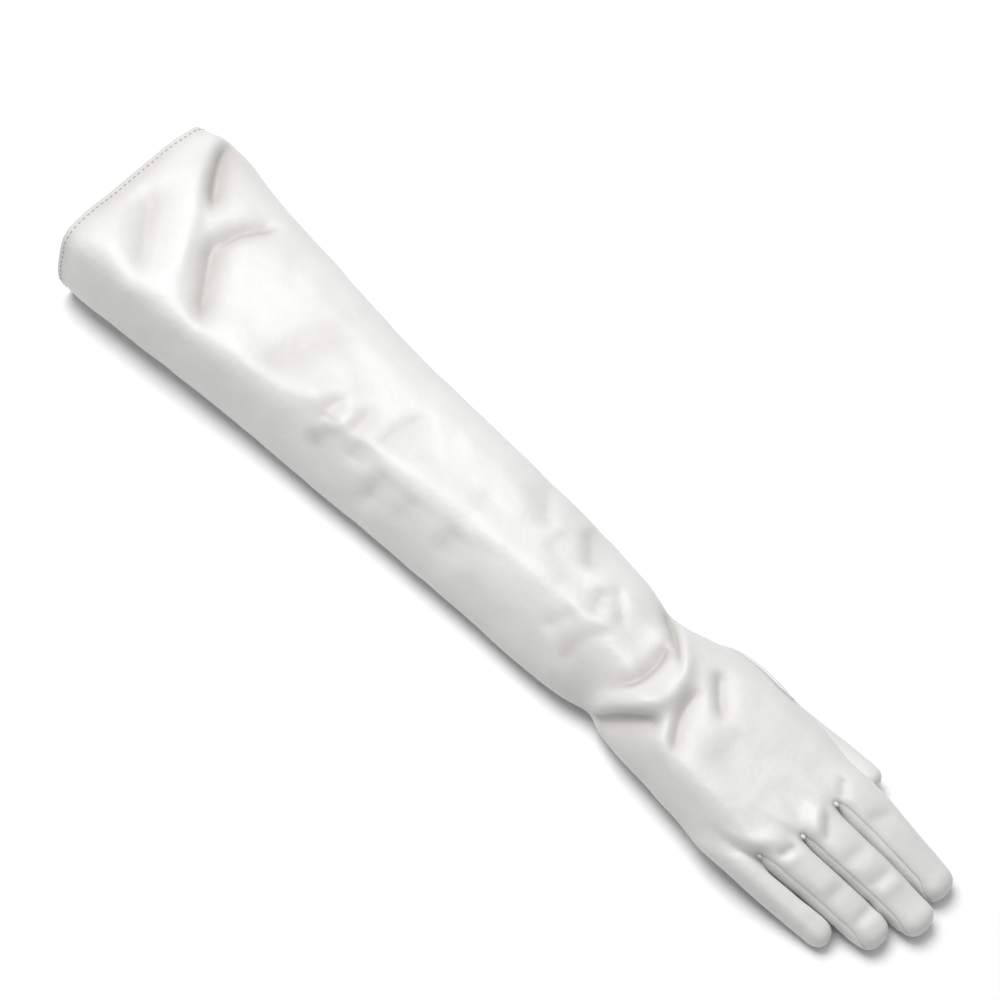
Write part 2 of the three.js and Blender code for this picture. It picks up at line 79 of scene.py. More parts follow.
# Sections of the hand in the same columns, as shares of the hand's length, of the width over the
# knuckles and of the hand's depth.
HAND_SECTIONS = np.array([
    (0.03, -0.524, -0.290, 0.250, 0.24, 0.97, 0.06, 0.00),
    (0.12, -0.582, -0.350, 0.255, 0.24, 1.00, 0.07, 0.00),
    (0.21, -0.610, -0.420, 0.290, 0.24, 1.02, 0.05, 0.00),
    (0.35, -0.635, -0.510, 0.345, 0.24, 1.00, 0.02, 0.12),
    (0.56, -0.675, -0.560, 0.330, 0.24, 0.95, 0.01, 0.46),
    (0.78, -0.715, -0.570, 0.298, 0.22, 0.88, 0.05, 0.46),
    (0.93, -0.740, -0.570, 0.270, 0.18, 0.82, 0.16, 0.46),
    (1.00, -0.745, -0.570, 0.265, 0.16, 0.79, 0.26, 0.44),
])

# The four fingers from the thumb side on: widths at root and tip and the reach as shares of the
# finger sizes, and the drop below the index finger as a share of the hand's depth.
FINGERS = [
    (1.19, 0.94, 0.93, 0.00),
    (1.05, 0.94, 1.00, 0.00),
    (0.95, 0.90, 0.84, 0.03),
    (0.59, 0.68, 0.56, 0.20),
]
FINGER_ROOT = 0.38
INDEX_EDGE = 0.267
INDEX_EDGE_AT_TIP = 0.222
FINGER_RISE = 0.815

# Shape along every finger: along, wide, deep, fall.
FINGER_PROFILE = np.array([
    (0.00, 0.90, 0.80, 0.00),
    (0.16, 1.00, 0.96, 0.00),
    (0.30, 1.00, 1.00, 0.05),
    (0.55, 1.00, 0.96, 0.42),
    (0.78, 1.00, 0.88, 0.82),
    (0.89, 0.99, 0.81, 0.96),
    (1.00, 0.96, 0.74, 1.00),
])

# Shape along the thumb: along, across, height, wide, deep.
THUMB_START = 0.14
THUMB_PROFILE = np.array([
    (0.00, 0.060, 0.420, 0.95, 0.85),
    (0.14, 0.125, 0.380, 1.15, 1.05),
    (0.30, 0.215, 0.300, 1.05, 0.92),
    (0.46, 0.280, 0.215, 0.86, 0.70),
    (0.70, 0.300, 0.205, 0.82, 0.68),
    (0.88, 0.310, 0.200, 0.80, 0.66),
    (1.00, 0.308, 0.195, 0.76, 0.62),
])

# Where the control points of a section lie: shares of its width across and of its height up.
THUMB_SIDE_UP = 0.48
THUMB_SHOULDER = (0.33, 0.76)
TOP_MIDDLE = 0.35
RIDGE_EDGE = (0.03, 0.985)
RIDGE_SLOPE = (0.42, 0.74)
LITTLE_SIDE_UP = 0.30
LITTLE_FOOT = 0.10
UNDER_MIDDLE = 0.52
THUMB_FOOT = 0.11

WRIST_X = ARM_LENGTH
KNUCKLE_X = WRIST_X + HAND_LENGTH
ROOT_WIDTHS = [root * FINGER_WIDTH for root, _, _, _ in FINGERS]
TIP_WIDTHS = [tip * FINGER_WIDTH for _, tip, _, _ in FINGERS]
KNUCKLE_WIDTH = sum(ROOT_WIDTHS) + 3 * FINGER_GAP


def smooth_table(rows, places):
    """Every column of a table at the given places, along a smooth curve through its rows."""
    at = rows[:, 0]
    values = rows[:, 1:]
    slopes = np.empty_like(values)
    slopes[1:-1] = (values[2:] - values[:-2]) / (at[2:] - at[:-2])[:, None]
    slopes[0] = (values[1] - values[0]) / (at[1] - at[0])
    slopes[-1] = (values[-1] - values[-2]) / (at[-1] - at[-2])
    places = np.clip(places, at[0], at[-1])
    row = np.clip(np.searchsorted(at, places, side="right") - 1, 0, len(at) - 2)
    span = (at[row + 1] - at[row])[:, None]
    t = (places - at[row])[:, None] / span
    return (
        (2 * t**3 - 3 * t**2 + 1) * values[row]
        + (t**3 - 2 * t**2 + t) * span * slopes[row]
        + (3 * t**2 - 2 * t**3) * values[row + 1]
        + (t**3 - t**2) * span * slopes[row + 1]
    )


def real_sizes(rows, start, length, width, depth):
    """A table of sections in millimetres."""
    sizes = rows * np.array([length, width, width, width, 1, depth, depth, depth])
    sizes[:, 0] += start
    return sizes


SECTIONS = np.vstack([
    real_sizes(ARM_SECTIONS, 0, ARM_LENGTH, ARM_WIDTH, ARM_DEPTH),
    real_sizes(HAND_SECTIONS, WRIST_X, HAND_LENGTH, KNUCKLE_WIDTH, HAND_DEPTH),
])


def mix(a, b, t):
    """The place at the share t of the way from a to b."""
    return a + (b - a) * t


def ease(x, low, high):
    """A smooth step from 0 at low to 1 at high."""
    t = np.clip((x - low) / (high - low), 0, 1)
    return t * t * (3 - 2 * t)


def fade_out(most, low, high, away):
    """A value that is most up to the distance low, and has faded to 0 at the distance high."""
    return most * (1 - ease(away, low, high))


def sections_at(x):
    """Columns of the sections at the places x, with the underside never below the floor."""
    little, ridge, thumb, rounding, top, under, tuck = smooth_table(SECTIONS, x).T
    return little, ridge, thumb, rounding, top, np.maximum(under, 0), np.maximum(tuck, 0)


def control_points(x):
    """Points that each section's closed curve goes through, from the thumb side over the top."""
    little, ridge, thumb, rounding, top, under, tuck = sections_at(x)
    width = thumb - little
    low = np.maximum(under, tuck)
    side = mix(low, top, THUMB_SIDE_UP)
    points = [
        (thumb, side),
        (thumb - THUMB_SHOULDER[0] * rounding * width, mix(side, top, THUMB_SHOULDER[1])),
        (thumb - rounding * width, top),
        (mix(ridge, thumb, TOP_MIDDLE), top),
        (ridge + RIDGE_EDGE[0] * width, mix(under, top, RIDGE_EDGE[1])),
        (mix(little, ridge, RIDGE_SLOPE[0]), mix(under, top, RIDGE_SLOPE[1])),
        (little, mix(under, top, LITTLE_SIDE_UP)),
        (little + LITTLE_FOOT * width, under),
        (mix(little, thumb, UNDER_MIDDLE), under),
        (thumb - THUMB_FOOT * width, low),
    ]
    return np.array(points).transpose(2, 0, 1)


def on_curve(points, u):
    """Places at the shares u round each closed curve."""
    count = points.shape[1]
    where = (u % 1.0) * count
    seg = np.floor(where).astype(int) % count
    t = (where - np.floor(where))[None, :, None]
    p0, p1, p2, p3 = (points[:, (seg + k) % count] for k in (-1, 0, 1, 2))
    d0, d1, d2 = (
        np.maximum(np.sqrt(np.linalg.norm(b - a, axis=2, keepdims=True)), 1e-4)
        for a, b in ((p0, p1), (p1, p2), (p2, p3))
    )
    t1 = ((p1 - p0) / d0 - (p2 - p0) / (d0 + d1) + (p2 - p1) / d1) * d1
    t2 = ((p2 - p1) / d1 - (p3 - p1) / (d1 + d2) + (p3 - p2) / d2) * d1
    return (
        p1
        + t1 * t
        + (-3 * p1 + 3 * p2 - 2 * t1 - t2) * t**2
        + (2 * p1 - 2 * p2 + t1 + t2) * t**3
    )


def slant(across):
    """How far the knuckles' line falls back towards the little finger."""
    return KNUCKLE_SLANT * np.clip(across, 0, 1) ** 2


def hand_surface(x, u):
    """Points of arm and hand, one row for each place x and one column for each share u."""
    yz = on_curve(control_points(x), u)
    little, _, thumb, _, _, under, _ = sections_at(x)
    yz[:, :, 1] = np.maximum(yz[:, :, 1], under[:, None])
    middle = ((little + thumb) / 2)[:, None]
    half = ((thumb - little) / 2)[:, None]
    across = (middle - yz[:, :, 0]) / half
    slanted = ease(x, WRIST_X + HAND_LENGTH / 2, KNUCKLE_X)[:, None]
    bow = (RIM_BOW * (1 - ease(x, 0, ARM_WIDTH)))[:, None]
    out = np.empty((len(x), len(u), 3))
    out[:, :, 0] = x[:, None] - slanted * slant(across) - bow * (1 - across**2)
    out[:, :, 1:] = yz
    return out


def finger_middles(edge, widths):
    """Middles of the fingers, side by side from the thumb side's edge on."""
    middles = []
    place = edge * KNUCKLE_WIDTH
    for width in widths:
        middles.append(place - width / 2)
        place -= width + FINGER_GAP
    return middles


ROOT_MIDDLES = finger_middles(INDEX_EDGE, ROOT_WIDTHS)
TIP_MIDDLES = finger_middles(INDEX_EDGE_AT_TIP, TIP_WIDTHS)
FINGER_START = KNUCKLE_X - FINGER_ROOT * FINGER_LENGTH


def finger_tip(i):
    """The place of a finger's end along the glove."""
    return KNUCKLE_X + FINGERS[i][2] * FINGER_LENGTH


def finger_place(i, x):
    """Middle, half width and half height of finger i at the places x."""
    _, tip, _, drop = FINGERS[i]
    share = (x - FINGER_START) / (finger_tip(i) - FINGER_START)
    wide, deep, fall = smooth_table(FINGER_PROFILE, share).T
    root = (KNUCKLE_X - FINGER_START) / (finger_tip(i) - FINGER_START)
    bend = ease(share, root, 1)
    rise = deep * FINGER_DEPTH * mix(1, tip, 0.5) / 2
    root_z = (FINGER_RISE - drop) * HAND_DEPTH - rise
    y = mix(ROOT_MIDDLES[i], TIP_MIDDLES[i], bend)
    z = mix(root_z, rise, np.minimum(fall, 1))
    return y, z, wide * mix(ROOT_WIDTHS[i], TIP_WIDTHS[i], bend) / 2, rise


# Columns round the glove: over the fingers' tops from the thumb side, then back underneath. Each
# group ends where the next finger's group starts.
TOP_COLUMNS = (38, 24, 20, 20)
UNDER_COLUMNS = (14, 8, 8, 10)
SIDE_COLUMNS = 8
LITTLE_SIDE_SHARE = 0.60
STEP = 1.15
CURVE_STEPS = 200
FINGER_CURVE_STEPS = 160

# The strips' upper and lower seams, as shares of the finger's half height, on the side towards
# the thumb and on the side towards the little finger.
SEAMS = [
    ((None, None), (0.80, 0.55)),
    ((0.70, 0.60), (0.66, 0.62)),
    ((0.62, 0.62), (0.60, 0.62)),
    ((0.55, 0.62), (None, None)),
]
SQUARENESS = 3.1
THUMB_SQUARENESS = 2.7
STRIP_END = 0.95

# How far each finger's side leans in towards its top, as a share of its half width: towards the
# thumb, and towards the little finger.
LEANS = [(0.10, 0.15), (-0.05, 0.06), (-0.02, 0.14), (-0.02, 0.15)]


def superellipse(angle, squareness):
    """Places on a rounded square, 1 in half width and half height."""
    power = 2 / squareness
    cos, sin = np.cos(angle), np.sin(angle)
    return np.sign(cos) * np.abs(cos) ** power, np.sign(sin) * np.abs(sin) ** power


def finger_ring(i, angles, half, rise):
    """Across and up places of a finger's section round its middle."""
    across, up = superellipse(angles, SQUARENESS)
    thumb_lean, little_lean = LEANS[i]
    lean = np.where(across > 0, thumb_lean, little_lean) * ease(up, 0, 1)
    return across * (1 - lean) * half, up * rise


def seam_angles(heights, narrowing):
    """Angles above and below the middle at which a side's two seams lie."""
    if heights[0] is None:
        return 0, 0
    return [math.asin((height * narrowing) ** (SQUARENESS / 2)) for height in heights]


def spread(angle_from, angle_to, count, half, rise):
    """Angles evenly spaced by distance along a finger's section, both ends included."""
    fine = np.linspace(angle_from, angle_to, FINGER_CURVE_STEPS)
    y, z = superellipse(fine, SQUARENESS)
    step = np.hypot(np.diff(y * half), np.diff(z * rise))
    length = np.concatenate([[0], np.cumsum(step)])
    return np.interp(np.linspace(0, length[-1], count + 1), length, fine)


def group_angles(i, half, rise, narrowing):
    """Angles of each group of columns round finger i: top, little side, underside, thumb side."""
    up_thumb, down_thumb = seam_angles(SEAMS[i][0], narrowing)
    up_little, down_little = seam_angles(SEAMS[i][1], narrowing)
    return [
        spread(up_thumb, math.pi - up_little, TOP_COLUMNS[i], half, rise),
        spread(math.pi - up_little, math.pi + down_little, SIDE_COLUMNS, half, rise),
        spread(math.pi + down_little, 2 * math.pi - down_thumb, UNDER_COLUMNS[i], half, rise),
        spread(2 * math.pi - down_thumb, 2 * math.pi + up_thumb, SIDE_COLUMNS, half, rise),
    ]


def even_shares(u_from, u_to, count, x):
    """Shares evenly spaced by distance along the section at x, the first end included."""
    fine = np.linspace(u_from, u_to, CURVE_STEPS)
    points = on_curve(control_points(np.array([x])), fine)[0]
    step = np.linalg.norm(np.diff(points, axis=0), axis=1)
    length = np.concatenate([[0], np.cumsum(step)])
    return np.interp(np.linspace(0, length[-1], count + 1), length, fine)[:-1]


# The middles of the gaps between the fingers, and the shares round the section to look for them.
GAPS = [ROOT_MIDDLES[i] - (ROOT_WIDTHS[i] + FINGER_GAP) / 2 for i in range(3)]
TOP_SHARES = np.linspace(0.08, 0.56, CURVE_STEPS)
UNDER_SHARES = np.linspace(0.66, 0.94, CURVE_STEPS)


def shares_at_gaps(shares):
    """Shares at which the knuckles' section crosses the middles of the gaps."""
    across = on_curve(control_points(np.array([KNUCKLE_X])), shares)[0, :, 0]
    order = np.argsort(across)
    return np.interp(GAPS, across[order], shares[order])


top_bounds = (0.0, *shares_at_gaps(TOP_SHARES), LITTLE_SIDE_SHARE)
under_bounds = (LITTLE_SIDE_SHARE, *shares_at_gaps(UNDER_SHARES)[::-1], 1.0)
ring_shares = np.concatenate(
    [
        even_shares(top_bounds[i], top_bounds[i + 1], TOP_COLUMNS[i], KNUCKLE_X)
        for i in range(4)
    ]
    + [
        even_shares(under_bounds[k], under_bounds[k + 1], UNDER_COLUMNS[3 - k], KNUCKLE_X)
        for k in range(4)
    ]
)
COLUMNS = len(ring_shares)
top_starts = np.concatenate([[0], np.cumsum(TOP_COLUMNS)])
under_starts = top_starts[-1] + np.concatenate([[0], np.cumsum(UNDER_COLUMNS[::-1])])

# Arm and hand, drawn towards the fingers' own shapes near the knuckles. A column is firm where it
# runs on to the middle of a finger, and loose where it ends at a crotch.
FIRM_COLUMNS = 7
LOOSE_RUN_IN = 3.5
FIRM_RUN_IN = 24
FIRM_PULL = 0.8
hand_x = np.linspace(0, KNUCKLE_X, int(KNUCKLE_X / STEP) + 1)
hand = hand_surface(hand_x, ring_shares)
finger_y = np.zeros(COLUMNS)
finger_z = np.zeros(COLUMNS)
firm = np.zeros(COLUMNS)
counts = np.zeros(COLUMNS)
for i in range(4):
    y, z, half, rise = (value[0] for value in finger_place(i, np.array([KNUCKLE_X])))
    groups = group_angles(i, half, rise, 1.0)
    top_ids = np.arange(top_starts[i], top_starts[i + 1] + 1)
    under_ids = np.arange(under_starts[3 - i], under_starts[4 - i] + 1) % COLUMNS
    for ids, angles in ((top_ids, groups[0]), (under_ids, groups[2])):
        across, up = finger_ring(i, angles, half, rise)
        finger_y[ids] += y + across
        finger_z[ids] += z + up
        counts[ids] += 1
        from_first = np.arange(len(ids))
        from_last = from_first[::-1]
        if (i == 0 and ids is top_ids) or (i == 3 and ids is under_ids):
            depth_in = from_last
        elif i in (0, 3):
            depth_in = from_first
        else:
            depth_in = np.minimum(from_first, from_last)
        firm[ids] = np.maximum(firm[ids], ease(depth_in, 0, FIRM_COLUMNS))
firm[top_starts[1:4]] = 0
firm[under_starts[1:4]] = 0
firm[0] = 1
firm[top_starts[4]] = 1
finger_y /= counts
finger_z /= counts
run_in = mix(LOOSE_RUN_IN, FIRM_RUN_IN, firm)
root_pull = mix(1.0, FIRM_PULL, firm)
pull = ease(hand_x[:, None], KNUCKLE_X - run_in, KNUCKLE_X + 0.01) * root_pull
hand[:, :, 1] = mix(hand[:, :, 1], finger_y, pull)
hand[:, :, 2] = mix(hand[:, :, 2], finger_z, pull)

vertices = [hand.reshape(-1, 3)]
vertex_count = hand.shape[0] * COLUMNS
STRIPS = ["fourchette_index_middle", "fourchette_middle_ring", "fourchette_ring_little"]
faces = {name: [] for name in ("trank", *STRIPS)}


def quads(ids):
    """Faces between neighbouring rows of a grid of vertex numbers, each row closed to a ring."""
    ids = np.concatenate([ids, ids[:, :1]], axis=1)
    return np.stack([ids[:-1, :-1], ids[:-1, 1:], ids[1:, 1:], ids[1:, :-1]], axis=2)


hand_ids = np.arange(vertex_count).reshape(hand.shape[0], COLUMNS)
faces["trank"].append(quads(hand_ids).reshape(-1, 4))
crotch_row = hand_ids[-1]

# The upright line at each crotch, from the upper to the lower seam, bowed in towards the hand.
CROTCH_BOW = 1.5
crotch_lines = []
for gap in range(3):
    upper = crotch_row[top_starts[gap + 1]]
    lower = crotch_row[under_starts[3 - gap]]
    start, end = hand.reshape(-1, 3)[upper], hand.reshape(-1, 3)[lower]
    inner = np.linspace(0, 1, SIDE_COLUMNS + 1)[1:-1, None]
    points = mix(start, end, inner)
    points[:, 0] -= CROTCH_BOW * np.sin(np.pi * inner[:, 0])
    ids = np.arange(vertex_count, vertex_count + len(points))
    vertices.append(points)
    vertex_count += len(points)
    crotch_lines.append(np.concatenate([[upper], ids, [lower]]))

# The fingers: rings along each one, the lengths over which it takes its own shape, and its rounded
# end.
FINGER_STATIONS = 58
STATIONS_TO_TIP = 1.25
FADE_EDGE = 5
FADE_MIDDLE = 14
DOME_LENGTH = 7.5
DOME_REACH = 0.8
DOME_POWERS = (2.6, 2.3)
DOME_LEAST = 0.06
SEAMS_CLOSE = 0.16
LEAST_NARROWING = 0.02
UNDER_INNER = 0.3
THUMB_EDGE_COLUMNS = 12
TIP_POINT = np.array([[0.15, 0, 0]])
for i in range(4):
    root_ids = np.concatenate([
        crotch_row[top_starts[i]:top_starts[i + 1] + 1],
        crotch_lines[i][1:-1] if i < 3 else [],
        crotch_row[np.arange(under_starts[3 - i], under_starts[4 - i] + 1) % COLUMNS],
        crotch_lines[i - 1][::-1][1:-1] if i > 0 else [],
    ]).astype(int)
    if i == 0:
        root_ids = root_ids[:-1]
    if i == 3:
        spot = TOP_COLUMNS[3]
        root_ids = np.delete(root_ids, spot + 1)
    all_points = np.concatenate(vertices)
    root = all_points[root_ids]
    length = finger_tip(i) + DOME_REACH - KNUCKLE_X
    t = np.linspace(0, 1, FINGER_STATIONS + 1)[1:]
    t = 1 - (1 - t) ** STATIONS_TO_TIP
    rows = []
    base = None
    for share in np.concatenate([[0.0], t]):
        x = KNUCKLE_X + share * length
        y, z, half, rise = (value[0] for value in finger_place(i, np.array([x])))
        past = max((x - finger_tip(i) - DOME_REACH) / DOME_LENGTH + 1, 0)
        scale = max(max(1 - past ** DOME_POWERS[0], 0) ** (1 / DOME_POWERS[1]), DOME_LEAST)
        narrowing = 1 - ease(share, STRIP_END - SEAMS_CLOSE, STRIP_END)
        groups = group_angles(i, half, rise, max(narrowing, LEAST_NARROWING))
        parts = [groups[0]]
        if i < 3:
            parts.append(groups[1][1:-1])
        parts.append(groups[2][:-1] if i == 0 else groups[2][(1 if i == 3 else 0):])
        if i > 0:
            parts.append(groups[3][1:-1])
        across, up = finger_ring(i, np.concatenate(parts), half, rise)
        ring = np.stack([np.full(len(across), x), y + across * scale, z + up * scale], axis=1)
        ring[:, 2] = np.maximum(ring[:, 2], 0)
        if base is None:
            base = ring
            off = root - base
            top_count = TOP_COLUMNS[i]
            place = np.arange(len(ring))
            depth_in = np.minimum(place, np.abs(top_count - place)).astype(float)
            inner = np.where(place <= top_count, ease(depth_in, 0, 6), UNDER_INNER)
            if i == 0:
                inner[:THUMB_EDGE_COLUMNS] = 1
            fade_length = mix(FADE_EDGE, FADE_MIDDLE, inner)
            continue
        fade = 1 - ease(share * length, 0, fade_length)
        slide = (1 - share) ** 2
        ring[:, 0] += off[:, 0] * slide
        ring[:, 1:] += off[:, 1:] * fade[:, None]
        rows.append(ring)
    grid = np.array(rows)
    ids = np.arange(vertex_count, vertex_count + grid.shape[0] * grid.shape[1])
    ids = ids.reshape(grid.shape[:2])
    vertices.append(grid.reshape(-1, 3))
    vertex_count += ids.size
    ids = np.concatenate([root_ids[None], ids])
    cells = quads(ids)
    owner = np.full(ids.shape[1], -1)
    if i < 3:
        owner[TOP_COLUMNS[i]:TOP_COLUMNS[i] + SIDE_COLUMNS] = i
    if i > 0:
        owner[-SIDE_COLUMNS:] = i - 1
    strip_rows = int(np.searchsorted(t, STRIP_END))
    for strip in range(3):
        faces[STRIPS[strip]].append(cells[:strip_rows, owner == strip].reshape(-1, 4))
        faces["trank"].append(cells[strip_rows:, owner == strip].reshape(-1, 4))
    faces["trank"].append(cells[:, owner < 0].reshape(-1, 4))
    tip = vertex_count
    vertices.append(grid[-1].mean(axis=0)[None] + TIP_POINT)
    vertex_count += 1
    last = ids[-1]
    around = np.roll(last, -1)
    faces["trank"].append(np.stack([last, around, np.full(len(last), tip),
                                    np.full(len(last), tip)], axis=1))

points = np.concatenate(vertices)
for name in faces:
    faces[name] = np.concatenate(faces[name])
every_face = np.concatenate(list(faces.values()))


def triangles(cells):
    """Quads as triangles. A quad with a doubled corner gives one."""
    first = cells[:, [0, 1, 2]]
    second = cells[:, [0, 2, 3]]
    second = second[second[:, 1] != second[:, 2]]
    return np.concatenate([first, second])


def normals_of(places, cells):
    """Outward directions at every place of a surface."""
    tris = triangles(cells)
    a, b, c = (places[tris[:, k]] for k in range(3))
    flat = np.cross(b - a, c - a)
    total = np.zeros_like(places)
    for k in range(3):
        np.add.at(total, tris[:, k], flat)
    size = np.linalg.norm(total, axis=1, keepdims=True)
    return total / np.maximum(size, 1e-9)


def relax(places, cells, weight, rounds):
    """Evens out the surface where weight is above nothing."""
    edges = np.concatenate([cells[:, [k, (k + 1) % 4]] for k in range(4)])
    edges = edges[edges[:, 0] != edges[:, 1]]
    edges = np.concatenate([edges, edges[:, ::-1]])
    count = np.bincount(edges[:, 0], minlength=len(places)).astype(float)
    for _ in range(rounds):
        total = np.zeros_like(places)
        for k in range(3):
            total[:, k] = np.bincount(edges[:, 0], places[edges[:, 1], k], len(places))
        mean = total / np.maximum(count, 1)[:, None]
        places = mix(places, mean, weight[:, None])
    return places


# The fingers run softly into the hand: round each crotch, and along the line of the knuckles. Each
# row has how soft the leather is there, and where that starts to fade and ends.
CROTCH_SOFT = (0.5, 4, 14)
CROTCH_REACH = np.array([1, 1, 0.6])
KNUCKLE_SOFT = (0.4, 5, 16)
SOFT_ROUNDS = 5
crotch_ids = [line[0] for line in crotch_lines]
weight = np.zeros(len(points))
for spot in points[crotch_ids]:
    near = np.linalg.norm((points - spot) * CROTCH_REACH, axis=1)
    weight = np.maximum(weight, fade_out(*CROTCH_SOFT, near))
line_x = points[crotch_row][:, 0].mean()
weight = np.maximum(weight, fade_out(*KNUCKLE_SOFT, np.abs(points[:, 0] - line_x)))
points = relax(points, every_face, weight, SOFT_ROUNDS)


# Folds as seen in the photograph: a bent line from its start over its middle to its end, how deep
# it presses in (below nothing for a raised roll), and how far it reaches to its left and right.
FOLDS = [
    (-237, 56, -227, 33, -208, 12, 5.0, 5.2, 4.4),
    (-245, 46, -216, 8, -185, -38, -2.6, 6.5, 12.0),
    (-204, 11, -189, -10, -166, -36, 4.2, 5.2, 6.4),
    (-180, 34, -193, 19, -198, 0, 3.4, 2.6, 8.0),
    (-246, 10, -226, -12, -205, -40, 2.8, 6.5, 8.0),
    (-251, 0, -238, -18, -224, -40, -0.8, 6.0, 6.0),
    (-121, 24, -131, -4, -141, -38, 2.4, 8.0, 8.5),
    (-96, 4, -104, -12, -116, -29, -1.7, 5.0, 6.0),
    (-97, -8, -99, -20, -95, -29, 2.6, 3.6, 4.2),
    (-91, -11, -90, -18, -90, -24, -1.1, 2.8, 2.8),
    (-87, -2, -84, -15, -83, -26, 2.1, 3.4, 4.0),
    (-92, -23, -91, -33, -95, -43, 2.6, 5.0, 5.0),
    (-77, -21, -76, -28, -74, -35, 1.7, 3.6, 3.6),
    (-61, 12, -69, -5, -68, -25, 1.8, 7.0, 3.6),
    (-57, -23, -57, -34, -53, -48, 2.0, 4.4, 4.4),
    (-67, -26, -63, -38, -59, -48, -0.9, 3.2, 3.2),
    (-66, -23, -24, -22, 16, -16, -0.9, 6.5, 2.6),
    (-39, -23, -39, -32, -38, -43, 1.4, 4.2, 4.2),
    (-15, -22, -15, -31, -13, -42, 1.6, 4.6, 4.6),
    (-17, 1, -17, -6, -17, -13, 0.7, 3.0, 3.6),
    (-16, -10, -16, -17, -16, -23, 0.6, 3.0, 3.6),
    (-6, 22, 4, 12, 14, 3, 2.1, 3.4, 4.2),
    (23, 19, 32, 11, 40, 0, 3.1, 3.4, 4.2),
    (19, 12, 20, 4, 18, -6, 1.2, 3.6, 3.6),
    (49, 2, 52, -6, 56, -14, 1.2, 2.8, 3.4),
    (51, 8, 60, 0, 70, -8, 1.3, 3.0, 3.6),
    (56, -2, 60, -8, 64, -14, -0.9, 4.0, 4.0),
    (48, -14, 46, -24, 42, -35, 1.3, 3.8, 4.4),
    (70, -10, 59, -26, 65, -46, 1.9, 4.8, 6.4),
    (42, -30, 54, -38, 66, -50, -0.9, 2.4, 2.4),
    (81, 6, 90, -13, 79, -38, 4.0, 2.0, 8.0),
    (76, 14, 105, -14, 81, -43, -3.2, 5.0, 5.0),
    (72, 17, 87, 6, 104, -10, 3.2, 2.5, 2.3),
    (113, -24, 98, -38, 81, -60, 4.6, 5.0, 3.6),
    (112, -2, 114, -21, 130, -43, 2.6, 3.4, 3.8),
    (110, 9, 118, -1, 130, -12, 2.3, 3.6, 3.6),
    (137, -4, 138, -16, 137, -30, 0.8, 9.0, 7.0),
    (167, -4, 164, -18, 167, -35, 0.35, 3.0, 4.0),
    (180, -5, 186, -13, 193, -22, -1.5, 2.4, 3.0),
    (185, -7, 190, -13, 196, -21, 1.0, 2.6, 1.8),
    (175, -45, 178, -36, 184, -28, -1.3, 3.4, 4.2),
    (187, -27, 186, -33, 185, -40, 1.5, 2.6, 2.2),
    (191, -28, 191, -35, 190, -42, -0.9, 2.4, 2.4),
    (181, 10, 183, 5, 189, 0, 1.0, 2.0, 2.4),
    (204, 15, 203, 8, 199, 0, 1.0, 2.4, 3.0),
    (208, -4, 206, -13, 208, -22, 1.2, 2.8, 3.2),
    (213, -4, 213, -12, 213, -20, -0.6, 3.0, 3.0),
    (220, -3, 220, -12, 219, -21, 1.6, 2.6, 2.8),
    (226, -4, 226, -11, 225, -20, -1.3, 3.0, 3.0),
    (207, -26, 207, -32, 207, -39, -0.7, 3.0, 3.0),
    (213, -23, 212, -31, 213, -41, 1.1, 2.4, 2.6),
    (227, -20, 226, -29, 227, -38, 1.5, 2.4, 2.6),
    (231, -19, 231, -27, 230, -36, -1.1, 2.8, 2.8),
    (205, -48, 216, -44, 226, -40, -0.8, 3.0, 3.0),
]
# A fold has a steep side and a gentle one. Folds of the arm are softer and shallower than those of
# the cuff and the wrist, and folds of the fingers are shallower.
FOLD_STEPS = 12
FOLD_ENDS = 0.62
STEEP_SIDE = 0.75
GENTLE_SIDE = 1.5
ARM_SOFTNESS = 1.5
ARM_SHALLOW = 0.72
FINGER_SHALLOW = 0.62
FOLD_REACH = 3
VALLEY = 1.55
ROLL = 2.0

# The stretches over which the cuff ends, and the wrist and the fingers begin, in the folds' places.
CUFF_ENDS = (-180, -140)
WRIST_BEGINS = (30, 76)
FINGERS_BEGIN = (195, 205)

# How dark the shade painted into a fold's crease is: full at this depth, and more for a fold
# narrower than this width.
CREASE_DEPTH = 4.2
CREASE_WIDTH = 8.5
CREASE_MOST = 1.7

# How a place below the top of the glove shifts against the top in the photograph, for each
# millimetre down, where the folds' places count from, and how far behind the rim folds begin.
SHIFT_ALONG = 0.401
SHIFT_ACROSS = 0.415
FOLD_ORIGIN = 253
RIM_KEPT = 11

# The direction that the photograph was taken from.
AZIMUTH = math.radians(44)
ELEVATION = math.radians(60)
TOWARDS_CAMERA = np.array([
    math.sin(AZIMUTH) * math.cos(ELEVATION),
    -math.cos(AZIMUTH) * math.cos(ELEVATION),
    math.sin(ELEVATION),
])


def top_at(x):
    """Height of the glove's top at the places x."""
    hand_top = sections_at(x)[4]
    _, z, _, rise = finger_place(1, np.maximum(x, FINGER_START))
    return np.where(x < KNUCKLE_X, hand_top, z + rise)


